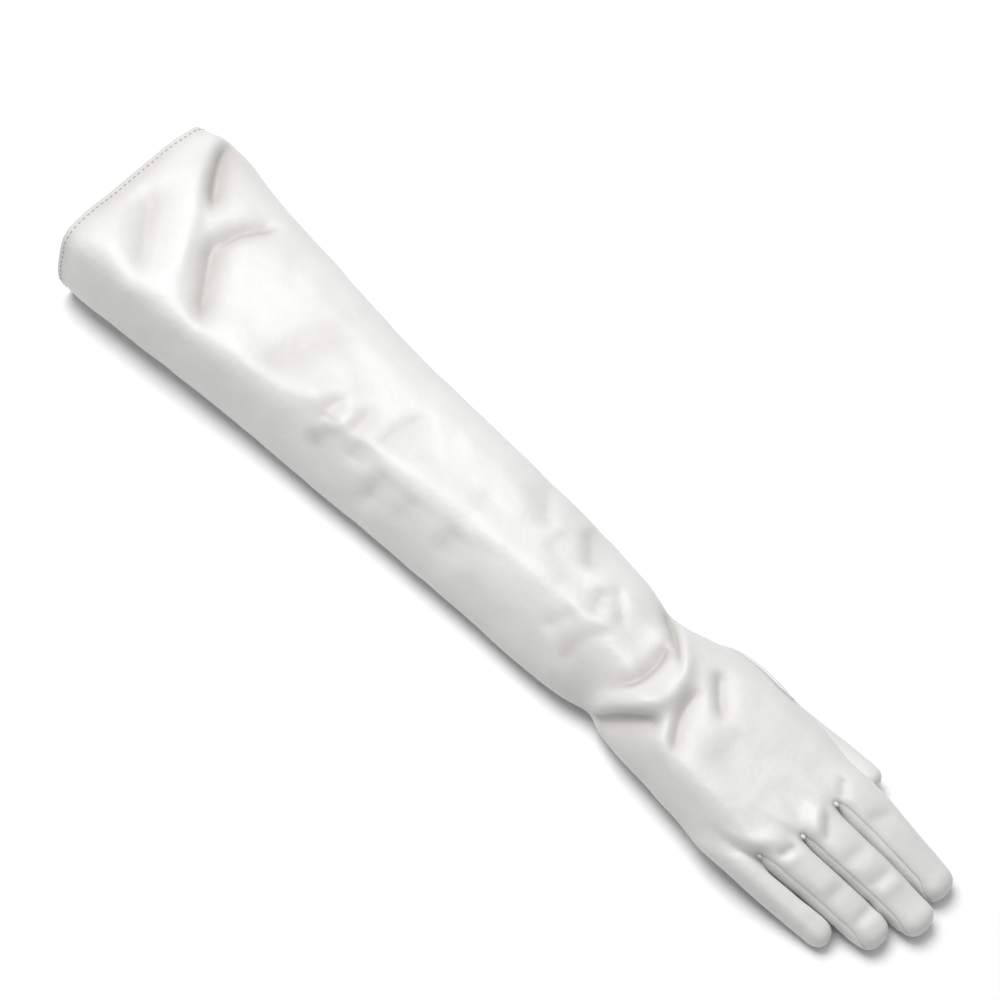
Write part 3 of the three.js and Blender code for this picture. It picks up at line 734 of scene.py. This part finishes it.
def fold_depth(places):
    """How deep the folds press in at each place, and how much shade is painted there in a crease.
    """
    below = top_at(places[:, 0]) - places[:, 2]
    px = places[:, 0] - FOLD_ORIGIN + SHIFT_ALONG * below
    py = places[:, 1] - SHIFT_ACROSS * below
    depth = np.zeros(len(places))
    crease_shade = np.zeros(len(places))
    for x0, y0, xm, ym, x1, y1, deep, left, right in FOLDS:
        crisp = max(ease(xm, *WRIST_BEGINS), 1 - ease(xm, *CUFF_ENDS))
        soft = mix(ARM_SOFTNESS, 1, crisp)
        on_finger = ease(xm, *FINGERS_BEGIN)
        deep = deep * mix(ARM_SHALLOW, 1, crisp) * mix(1, FINGER_SHALLOW, on_finger)
        left, right = left * soft, right * soft
        reach = FOLD_REACH * GENTLE_SIDE * max(left, right)
        near = (
            (px > min(x0, xm, x1) - reach) & (px < max(x0, xm, x1) + reach)
            & (py > min(y0, ym, y1) - reach) & (py < max(y0, ym, y1) + reach)
        )
        qx, qy = px[near], py[near]
        t = np.linspace(0, 1, FOLD_STEPS + 1)
        bx = (1 - t) ** 2 * x0 + 2 * t * (1 - t) * (2 * xm - (x0 + x1) / 2) + t**2 * x1
        by = (1 - t) ** 2 * y0 + 2 * t * (1 - t) * (2 * ym - (y0 + y1) / 2) + t**2 * y1
        dx, dy = np.diff(bx), np.diff(by)
        along = (qx[:, None] - bx[:-1]) * dx + (qy[:, None] - by[:-1]) * dy
        along = np.clip(along / (dx**2 + dy**2), 0, 1)
        ox = qx[:, None] - bx[:-1] - along * dx
        oy = qy[:, None] - by[:-1] - along * dy
        away = ox**2 + oy**2
        best = away.argmin(axis=1)
        row = np.arange(len(best))
        reached = (best + along[row, best]) / FOLD_STEPS
        side = dx[best] * oy[row, best] - dy[best] * ox[row, best]
        steep = STEEP_SIDE if deep > 0 else GENTLE_SIDE
        gentle = GENTLE_SIDE if deep > 0 else STEEP_SIDE
        cuff_is_left = (y1 - y0) + (x1 - x0) > 0
        if cuff_is_left:
            wide = np.where(side > 0, left * steep, right * gentle)
        else:
            wide = np.where(side > 0, left * gentle, right * steep)
        end = ease(1 - np.abs(2 * reached - 1), 0, FOLD_ENDS)
        shape = VALLEY if deep > 0 else ROLL
        press = deep * end * np.exp(-((np.sqrt(away[row, best]) / wide) ** shape))
        depth[near] += press
        narrow = np.clip(CREASE_WIDTH / (left + right), 1, CREASE_MOST)
        crease_shade[near] += press / CREASE_DEPTH * narrow
    return depth, np.clip(crease_shade, 0, 1)


SEED_STEPS = (17.3, 5.1, 9.7)


def noise_at(places, scale, seed):
    """Smooth noise between -1 and 1 with a given grain in millimetres."""
    shift = Vector([seed * step for step in SEED_STEPS])
    return np.array([noise.noise(Vector(p) / scale + shift) for p in places])


# Ripples all over: height, grain in millimetres and seed.
RIPPLES = ((0.5, 26, 1), (0.42, 14, 3), (0.16, 8, 2))
RIPPLE_HEIGHT = 0.9

# Folds begin where the surface faces the photograph, and the side that it rests on stays flat: both
# as the share of the surface's direction over which that comes in.
FACING_ENDS = (-0.02, 0.22)
UNDERSIDE_ENDS = (-0.95, -0.6)
UNDERSIDE_KEPT = 0.05


def settle(places, cells):
    """Presses folds and small ripples into the side of a surface that the photograph shows, with
    painted shade in its creases.
    """
    normals = normals_of(places, cells)
    facing = normals @ TOWARDS_CAMERA
    kept = ease(facing, *FACING_ENDS) * ease(places[:, 0], 0, RIM_KEPT)
    depth, crease_shade = fold_depth(places)
    ripple = sum(height * noise_at(places, grain, seed) for height, grain, seed in RIPPLES)
    under = ease(normals[:, 2], *UNDERSIDE_ENDS)
    move = (ripple * RIPPLE_HEIGHT - depth * kept) * np.maximum(under, UNDERSIDE_KEPT)
    moved = places + normals * move[:, None]
    moved[:, 2] = np.maximum(moved[:, 2], LIFT)
    return moved, crease_shade * kept


# The folded surface is evened out, from a little behind the rim on.
EVEN_OUT = 0.5
EVEN_OUT_FROM = (2, 9)
EVEN_OUT_ROUNDS = 3
points, painted_shade = settle(points, every_face)
weight = EVEN_OUT * ease(points[:, 0], *EVEN_OUT_FROM)
points = relax(points, every_face, weight, EVEN_OUT_ROUNDS)
points[:, 2] = np.maximum(points[:, 2], LIFT)

# Seams between the leather and the strips lie a little deeper than both.
SEAM_DEPTH = 0.45
strip_cells = np.concatenate([faces[name] for name in STRIPS])
on_strip = np.zeros(len(points), bool)
on_strip[strip_cells.ravel()] = True
on_trank = np.zeros(len(points), bool)
on_trank[faces["trank"].ravel()] = True
seam = on_strip & on_trank
skin_normals = normals_of(points, every_face)
points[seam] -= SEAM_DEPTH * skin_normals[seam]


def mesh_piece(name, places, cells, material, nodes=(), crease_shade=None):
    """A smooth-shaded piece from places in millimetres."""
    used, cells_used = np.unique(cells, return_inverse=True)
    cells_used = cells_used.reshape(cells.shape)
    shared = places[used] * MM + RIM_PLACE * MM
    corners = [
        [int(c) for k, c in enumerate(cell) if k == 0 or c != cell[k - 1]] for cell in cells_used
    ]
    mesh = bpy.data.meshes.new(name)
    mesh.from_pydata(shared.tolist(), [], corners)
    # Painted shade of the folds, stored on the points for the material to darken its colour.
    if crease_shade is not None:
        layer = mesh.attributes.new("crease_shade", "FLOAT", "POINT")
        layer.data.foreach_set("value", crease_shade[used].astype(np.float32))
    mesh.validate()
    mesh.shade_smooth()
    mesh.materials.append(material)
    piece = bpy.data.objects.new(name, mesh)
    bpy.context.scene.collection.objects.link(piece)
    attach(piece, "root")
    for node in nodes:
        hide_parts(node)


def leather(name, colour, drift_and_shade, roughness, grain, sheen):
    """Soft coated leather: fine grain, slow colour drift, and warm shade painted into its colour in
    the folds and hollows.
    """
    material = bpy.data.materials.new(name)
    material.use_nodes = True
    tree = material.node_tree
    shader = tree.nodes["Principled BSDF"]
    add = tree.nodes.new
    link = tree.links.new
    coords = add("ShaderNodeTexCoord")
    drift = add("ShaderNodeTexNoise")
    drift.inputs["Scale"].default_value = 22
    drift.inputs["Detail"].default_value = 3
    link(coords.outputs["Object"], drift.inputs["Vector"])
    # The colour leans towards the shade colour by a slow random drift of tone, and further by
    # painted shade in hollows and creases.
    tint = add("ShaderNodeMix")
    tint.data_type = "RGBA"
    tint.inputs["A"].default_value = (*colour, 1)
    tint.inputs["B"].default_value = (*drift_and_shade, 1)
    amount = add("ShaderNodeMapRange")
    amount.inputs["From Min"].default_value = 0.35
    amount.inputs["From Max"].default_value = 0.75
    amount.inputs["To Max"].default_value = 0.26
    link(drift.outputs["Fac"], amount.inputs["Value"])
    # Painted shade: the colour turns towards the shade colour in hollows of the surface.
    geometry = add("ShaderNodeNewGeometry")
    hollow_shade = add("ShaderNodeMapRange")
    hollow_shade.inputs["From Min"].default_value = 0.50
    hollow_shade.inputs["From Max"].default_value = 0.44
    hollow_shade.inputs["To Max"].default_value = 0.55
    link(geometry.outputs["Pointiness"], hollow_shade.inputs["Value"])
    both = add("ShaderNodeMath")
    both.operation = "ADD"
    both.use_clamp = True
    link(amount.outputs["Result"], both.inputs[0])
    link(hollow_shade.outputs["Result"], both.inputs[1])
    # Painted shade: the stored crease shade darkens the colour further towards the shade colour.
    folded = add("ShaderNodeAttribute")
    folded.attribute_name = "crease_shade"
    deeper = add("ShaderNodeMath")
    deeper.operation = "MULTIPLY_ADD"
    deeper.use_clamp = True
    deeper.inputs[1].default_value = 0.85
    link(folded.outputs["Fac"], deeper.inputs[0])
    link(both.outputs[0], deeper.inputs[2])
    link(deeper.outputs[0], tint.inputs["Factor"])
    link(tint.outputs["Result"], shader.inputs["Base Color"])
    gloss = add("ShaderNodeTexNoise")
    gloss.inputs["Scale"].default_value = 60
    gloss.inputs["Detail"].default_value = 4
    link(coords.outputs["Object"], gloss.inputs["Vector"])
    rough = add("ShaderNodeMapRange")
    rough.inputs["To Min"].default_value = roughness - 0.07
    rough.inputs["To Max"].default_value = roughness + 0.07
    link(gloss.outputs["Fac"], rough.inputs["Value"])
    link(rough.outputs["Result"], shader.inputs["Roughness"])
    pores = add("ShaderNodeTexVoronoi")
    pores.feature = "DISTANCE_TO_EDGE"
    pores.inputs["Scale"].default_value = 750
    link(coords.outputs["Object"], pores.inputs["Vector"])
    fine = add("ShaderNodeTexNoise")
    fine.inputs["Scale"].default_value = 420
    fine.inputs["Detail"].default_value = 6
    link(coords.outputs["Object"], fine.inputs["Vector"])
    wrinkle = add("ShaderNodeTexNoise")
    wrinkle.inputs["Scale"].default_value = 190
    wrinkle.inputs["Detail"].default_value = 6
    link(coords.outputs["Object"], wrinkle.inputs["Vector"])
    below = None
    for height, strength, distance in (
        (wrinkle.outputs["Fac"], 0.35, 0.0009),
        (fine.outputs["Fac"], 0.5, 0.00012),
        (pores.outputs["Distance"], 0.3, 0.00010),
    ):
        bump = add("ShaderNodeBump")
        bump.inputs["Strength"].default_value = strength * grain
        bump.inputs["Distance"].default_value = distance
        link(height, bump.inputs["Height"])
        if below is not None:
            link(below.outputs["Normal"], bump.inputs["Normal"])
        below = bump
    link(below.outputs["Normal"], shader.inputs["Normal"])
    shader.inputs["Sheen Weight"].default_value = sheen
    shader.inputs["Sheen Roughness"].default_value = 0.4
    return material


# Colour, colour of the shade painted in folds and hollows (also the far end of the colour drift),
# roughness, grain and sheen of each material.
white_leather = leather(
    "white_leather", (0.70, 0.699, 0.690), (0.48, 0.467, 0.442), 0.45, 0.8, 0.15
)
# The strips' leather is painted lighter than the rest, as painted light that lifts the shade they
# sit in between the fingers.
strip_leather = leather(
    "strip_leather", (0.74, 0.738, 0.726), (0.60, 0.585, 0.56), 0.50, 0.6, 0.15
)
hem_leather = leather(
    "hem_leather", (0.62, 0.615, 0.60), (0.50, 0.488, 0.46), 0.58, 0.8, 0.2
)
welt_leather = leather(
    "welt_leather", (0.70, 0.697, 0.685), (0.54, 0.53, 0.505), 0.5, 0.6, 0.1
)
# The stitches' grey is partly the thread's own colour and partly painted shadow of the stitches and
# their needle holes.
thread_and_painted_shadow = leather(
    "thread_and_painted_shadow", (0.46, 0.45, 0.425), (0.34, 0.33, 0.31), 0.65, 0.8, 0.2
)

# The inner side of the leather, and the rounded rim at the cuff, as steps inward and forward.
LINING_STEP = 4
LINING_ROWS = 352
RIM_STEPS = ((0.3, 0.35), (0.85, 0.35))
inside_rows = hand_ids[:LINING_ROWS:LINING_STEP]
lining = points[inside_rows] - LEATHER * skin_normals[inside_rows]
lining[:, :, 2] = np.maximum(lining[:, :, 2], LEATHER)
rim = points[hand_ids[0]]
rim_normals = skin_normals[hand_ids[0]]
edges = []
for inward, forward in RIM_STEPS:
    ring = rim - inward * rim_normals
    ring[:, 0] -= forward
    edges.append(ring)
start = len(points)
inner = np.concatenate([np.array(edges), lining])
inner_ids = np.arange(start, start + inner.shape[0] * COLUMNS).reshape(inner.shape[:2])
back_end = start + inner_ids.size
whole = np.concatenate([points, inner.reshape(-1, 3), lining[-1].mean(axis=0)[None]])
inner_rows = np.concatenate([hand_ids[:1], inner_ids])
inner_cells = quads(inner_rows).reshape(-1, 4)[:, ::-1]
last_row = inner_ids[-1]
to_end = np.full(COLUMNS, back_end)
cap = np.stack([np.roll(last_row, -1), last_row, to_end, to_end], axis=1)
trank_cells = np.concatenate([faces["trank"], inner_cells, cap])

# Raised seams on the thumb side: place round the section, start, end, half width and height.
WELTS = {
    "arm": (0.975, 4, 292, 0.9, 1.5),
    "hand": (0.040, 354, 394, 1.2, 1.7),
}

# Painted shade: how dark the leather is painted beside the raised seams, behind the rim and round
# the knots, and how far.
WELT_SHADE = 0.6
WELT_SHADE_REACH = 2.4
RIM_SHADE = (0.4, 1.5, 9)
KNOT_SHADE = (0.9, 1.0, 3.6)


def welt_line(share, x_from, x_to):
    """Vertex numbers along the skin under a raised seam."""
    column = int(np.abs((ring_shares - share + 0.5) % 1.0 - 0.5).argmin())
    rows = np.arange(int(x_from / STEP), int(x_to / STEP) + 1)
    return hand_ids[rows, column]


def near_line(places, line):
    """Distance of every place from the nearest point of a line."""
    near = np.full(len(places), 1e3)
    for spot in line:
        near = np.minimum(near, np.linalg.norm(places - spot, axis=1))
    return near


# Shade painted beside the raised seams, behind the rim and round the knots, on top of the folds'
# painted shade.
for share, x_from, x_to, half, _ in WELTS.values():
    away = near_line(points, points[welt_line(share, x_from, x_to)])
    beside = fade_out(WELT_SHADE, WELT_SHADE_REACH / 2, WELT_SHADE_REACH + half, away)
    painted_shade = np.maximum(painted_shade, beside)
painted_shade = np.maximum(painted_shade, fade_out(*RIM_SHADE, points[:, 0]))
for spot in points[crotch_ids]:
    away = np.linalg.norm(points - spot, axis=1)
    painted_shade = np.maximum(painted_shade, fade_out(*KNOT_SHADE, away))

outer_painted_shade = np.concatenate([painted_shade, np.zeros(len(whole) - len(painted_shade))])
mesh_piece("trank_leather", whole, trank_cells, white_leather, ["trank"], outer_painted_shade)
for name in STRIPS:
    mesh_piece(name + "_leather", points, faces[name], strip_leather, [name])

# The turned-in hem, a flat band inside the rim.
HEM_OUTSIDE = LEATHER + 0.25
HEM_INSIDE = 2 * LEATHER + 0.3
HEM_BACK = np.array([0.5, 0, 0])
HEM_FRONT = np.array([0.4, 0, 0])
hem_rows = hand_ids[: int(HEM_WIDTH / STEP) + 1]
hem_outer = points[hem_rows] - HEM_OUTSIDE * skin_normals[hem_rows]
hem_inner = points[hem_rows] - HEM_INSIDE * skin_normals[hem_rows]
hem_outer[:, :, 2] = np.maximum(hem_outer[:, :, 2], HEM_OUTSIDE)
hem_inner[:, :, 2] = np.maximum(hem_inner[:, :, 2], HEM_INSIDE)
rounded = (hem_outer[-1] + hem_inner[-1]) / 2 + HEM_BACK
front = (hem_outer[0] + hem_inner[0]) / 2 - HEM_FRONT
band = np.concatenate([front[None], hem_outer, rounded[None], hem_inner[::-1], front[None]])
band_ids = np.arange(band.shape[0] * COLUMNS).reshape(band.shape[:2])
band_ids[-1] = band_ids[0]
mesh_piece("hem_band", band.reshape(-1, 3), quads(band_ids).reshape(-1, 4), hem_leather,
           ["cuff_hem"])


def rail_cells(rows, count):
    """Faces of a closed rail: its rings and both ends."""
    ids = np.arange(rows * count).reshape(rows, count)
    cells = quads(ids).reshape(-1, 4)
    ends = []
    for row in (ids[0], ids[-1][::-1]):
        for k in range(1, count - 1):
            ends.append((row[0], row[k + 1], row[k], row[k]))
    return np.concatenate([cells, np.array(ends)])


WELT_SIDES = 12
WELT_SINK = 0.35
WELT_TAPER_ROWS = 6
WELT_END_SIZE = 0.35


def welt(name, node, share, x_from, x_to, half, height):
    """A low rounded rail along a line on the skin, thinner at both ends."""
    ids = welt_line(share, x_from, x_to)
    line = points[ids]
    normals = skin_normals[ids]
    along = np.gradient(line, axis=0)
    across = np.cross(normals, along)
    across /= np.linalg.norm(across, axis=1, keepdims=True)
    place = np.arange(len(ids))
    taper = np.minimum(np.minimum(place, place[::-1]) / WELT_TAPER_ROWS, 1)
    size = mix(WELT_END_SIZE, 1, taper)[:, None, None]
    angles = np.linspace(0, 2 * math.pi, WELT_SIDES, endpoint=False)
    sideways = across[:, None] * (half * np.cos(angles))[None, :, None]
    up = (height * np.sin(angles) / 2 + height / 2 - WELT_SINK)[None, :, None]
    ring = line[:, None] + (sideways + normals[:, None] * up) * size
    mesh_piece(name, ring.reshape(-1, 3), rail_cells(len(ids), WELT_SIDES), welt_leather,
               [node])


welt("arm_welt", "arm_seam_welt", *WELTS["arm"])
welt("hand_welt", "hand_seam_welt", *WELTS["hand"])

# A small knot where the seams meet at each crotch.
KNOT_RADIUS = 1.15
KNOT_SHAPE = np.array([1.25, 0.85, 0.8])
KNOT_OFFSET = np.array([0.4, 0, 0.2])
KNOT_ROWS = 8
KNOT_COLUMNS = 12
KNOT_POLE = 0.04
polar = np.linspace(KNOT_POLE, math.pi - KNOT_POLE, KNOT_ROWS)
turn = np.linspace(0, 2 * math.pi, KNOT_COLUMNS, endpoint=False)
ball = np.stack([
    np.sin(polar)[:, None] * np.cos(turn),
    np.sin(polar)[:, None] * np.sin(turn),
    np.cos(polar)[:, None] * np.ones(KNOT_COLUMNS),
], axis=2) * KNOT_SHAPE * KNOT_RADIUS
for name, spot in zip(STRIPS, points[crotch_ids]):
    knot = ball + spot + KNOT_OFFSET
    knot_cells = rail_cells(KNOT_ROWS, KNOT_COLUMNS)[:, ::-1]
    mesh_piece(name + "_knot", knot.reshape(-1, 3), knot_cells, welt_leather)

# The thumb, from inside the palm to its blunt tip.
THUMB_COLUMNS = 40
THUMB_ROWS = 96
THUMB_DOME = 0.055
THUMB_DOME_POWERS = (2.5, 2.3)
THUMB_DOME_LEAST = 0.05
THUMB_REACH = 0.6
THUMB_RIPPLE = 0.35
thumb_x = WRIST_X + THUMB_START * HAND_LENGTH
share = np.linspace(0, 1, THUMB_ROWS)
across, height, wide, deep = smooth_table(THUMB_PROFILE, share).T
past = np.maximum((share - 1) / THUMB_DOME + 1, 0)
scale = np.maximum(1 - past ** THUMB_DOME_POWERS[0], 0.0) ** (1 / THUMB_DOME_POWERS[1])
scale = np.maximum(scale, THUMB_DOME_LEAST)
cos, sin = superellipse(np.linspace(0, 2 * math.pi, THUMB_COLUMNS, endpoint=False),
                        THUMB_SQUARENESS)
thumb = np.empty((THUMB_ROWS, THUMB_COLUMNS, 3))
thumb[:, :, 0] = (thumb_x + share * (THUMB_LENGTH + THUMB_REACH))[:, None]
half = (wide * THUMB_WIDTH / 2 * scale)[:, None]
rise = (deep * THUMB_WIDTH / 2 * scale)[:, None]
thumb[:, :, 1] = (across * KNUCKLE_WIDTH)[:, None] + half * cos
thumb[:, :, 2] = np.maximum((height * HAND_DEPTH)[:, None] + rise * sin, LIFT)
thumb_ids = np.arange(thumb.shape[0] * THUMB_COLUMNS).reshape(thumb.shape[:2])
thumb_cells = quads(thumb_ids).reshape(-1, 4)
thumb_points = thumb.reshape(-1, 3)
tip_id = len(thumb_points)
thumb_points = np.concatenate([thumb_points, thumb[-1].mean(axis=0)[None]])
last = thumb_ids[-1]
to_tip = np.full(THUMB_COLUMNS, tip_id)
thumb_end = np.stack([last, np.roll(last, -1), to_tip, to_tip], axis=1)
thumb_cells = np.concatenate([thumb_cells, thumb_end])
thumb_normals = normals_of(thumb_points, thumb_cells)
ripple = THUMB_RIPPLE * noise_at(thumb_points, 14, 5)
thumb_points = thumb_points + thumb_normals * ripple[:, None]
thumb_points[:, 2] = np.maximum(thumb_points[:, 2], LIFT)
mesh_piece("thumb_leather", thumb_points, thumb_cells, white_leather, ["thumb"])


# The stitches of the hem: their spacing, length and thickness, and the size of each ring of a
# stitch at its place along it.
STITCH_PITCH = 2.9
STITCH_LENGTH = 1.9
STITCH_RADIUS = 0.28
STITCH_SIDES = 6
STITCH_RINGS = ((-0.5, 0.35), (-0.36, 0.9), (0, 1), (0.36, 0.9), (0.5, 0.35))
STITCH_TOP = 0.12
STITCH_ARCH = 1.1
STITCH_AIM = 0.2


def stitch_row(name, line, normals):
    """Short rounded stitches along a closed line on the skin."""
    line = np.concatenate([line, line[:1]])
    normals = np.concatenate([normals, normals[:1]])
    steps = np.linalg.norm(np.diff(line, axis=0), axis=1)
    along = np.concatenate([[0], np.cumsum(steps)])

    def at_distance(values, distance):
        return np.array([np.interp(distance, along, values[:, axis]) for axis in range(3)])

    count = int(along[-1] / STITCH_PITCH)
    middles = (np.arange(count) + 0.5) * along[-1] / count
    angles = np.linspace(0, 2 * math.pi, STITCH_SIDES, endpoint=False)
    places, cells = [], []
    for middle in middles:
        rings = []
        for offset, size in STITCH_RINGS:
            at = middle + offset * STITCH_LENGTH
            up = at_distance(normals, at)
            ahead = at_distance(line, at + STITCH_AIM) - at_distance(line, at - STITCH_AIM)
            side = np.cross(ahead / max(np.linalg.norm(ahead), 1e-6), up)
            arch = STITCH_TOP - STITCH_ARCH * abs(offset) ** 2
            radius = size * STITCH_RADIUS
            rings.append(list(range(len(places), len(places) + STITCH_SIDES)))
            places.extend(
                at_distance(line, at)
                + up * (arch + radius * math.sin(a))
                + side * radius * math.cos(a)
                for a in angles
            )
        for ring, beyond in zip(rings, rings[1:]):
            for k in range(STITCH_SIDES):
                n = (k + 1) % STITCH_SIDES
                cells.append((ring[k], ring[n], beyond[n], beyond[k]))
        for ring, flip in ((rings[0], True), (rings[-1], False)):
            for k in (1, 3):
                cell = (ring[0], ring[k], ring[k + 1], ring[(k + 2) % STITCH_SIDES])
                cells.append(cell[::-1] if flip else cell)
    places = np.array(places)
    places[:, 2] = np.maximum(places[:, 2], LIFT)
    mesh_piece(name, places, np.array(cells), thread_and_painted_shadow)


STITCH_LINE = hand_ids[2]
stitch_row("hem_stitches", points[STITCH_LINE], skin_normals[STITCH_LINE])

# A pale floor and soft light from above, behind and to the thumb side.
FLOOR_HALF = 6
FLOOR_COLOUR = (0.90, 0.90, 0.90, 1)
WORLD_STRENGTH = 0.29
floor_corners = [
    (FLOOR_HALF * x, FLOOR_HALF * y, 0) for x, y in ((-1, -1), (1, -1), (1, 1), (-1, 1))
]
stage_mesh = bpy.data.meshes.new("floor")
stage_mesh.from_pydata(floor_corners, [], [(0, 1, 2, 3)])
floor = bpy.data.objects.new("floor", stage_mesh)
bpy.context.scene.collection.objects.link(floor)
floor_paint = bpy.data.materials.new("floor_paint")
floor_paint.use_nodes = True
floor_shader = floor_paint.node_tree.nodes["Principled BSDF"]
floor_shader.inputs["Base Color"].default_value = FLOOR_COLOUR
floor_shader.inputs["Roughness"].default_value = 0.8
stage_mesh.materials.append(floor_paint)


def soft_light(name, place, size, power):
    """A round lamp that aims at the middle of the glove."""
    light = bpy.data.lights.new(name, "AREA")
    light.shape = "DISK"
    light.size = size
    light.energy = power
    lamp = bpy.data.objects.new(name, light)
    lamp.location = place
    aim = Vector((0, 0, 0.02)) - Vector(place)
    lamp.rotation_euler = aim.to_track_quat("-Z", "Y").to_euler()
    bpy.context.scene.collection.objects.link(lamp)


soft_light("key", (-0.78, 0.18, 2.0), 1.5, 46)
soft_light("fill", (0.45, 0.15, 1.7), 1.2, 3.6)
world = bpy.data.worlds.new("studio")
bpy.context.scene.world = world
world.use_nodes = True
background = world.node_tree.nodes["Background"]
background.inputs["Color"].default_value = (1, 1, 1, 1)
background.inputs["Strength"].default_value = WORLD_STRENGTH
bpy.context.scene.view_settings.view_transform = "Standard"

# The camera, at the angle of the photograph.
TARGET = Vector((-0.0168, 0.00696, 0.020))
DISTANCE = 1.4862
camera_data = bpy.data.cameras.new("camera")
camera_data.lens = 120
camera_data.sensor_width = 36
camera = bpy.data.objects.new("camera", camera_data)
camera.location = TARGET + DISTANCE * Vector(TOWARDS_CAMERA)
camera.rotation_euler = (TARGET - camera.location).to_track_quat("-Z", "Y").to_euler()
bpy.context.scene.collection.objects.link(camera)
bpy.context.scene.camera = camera
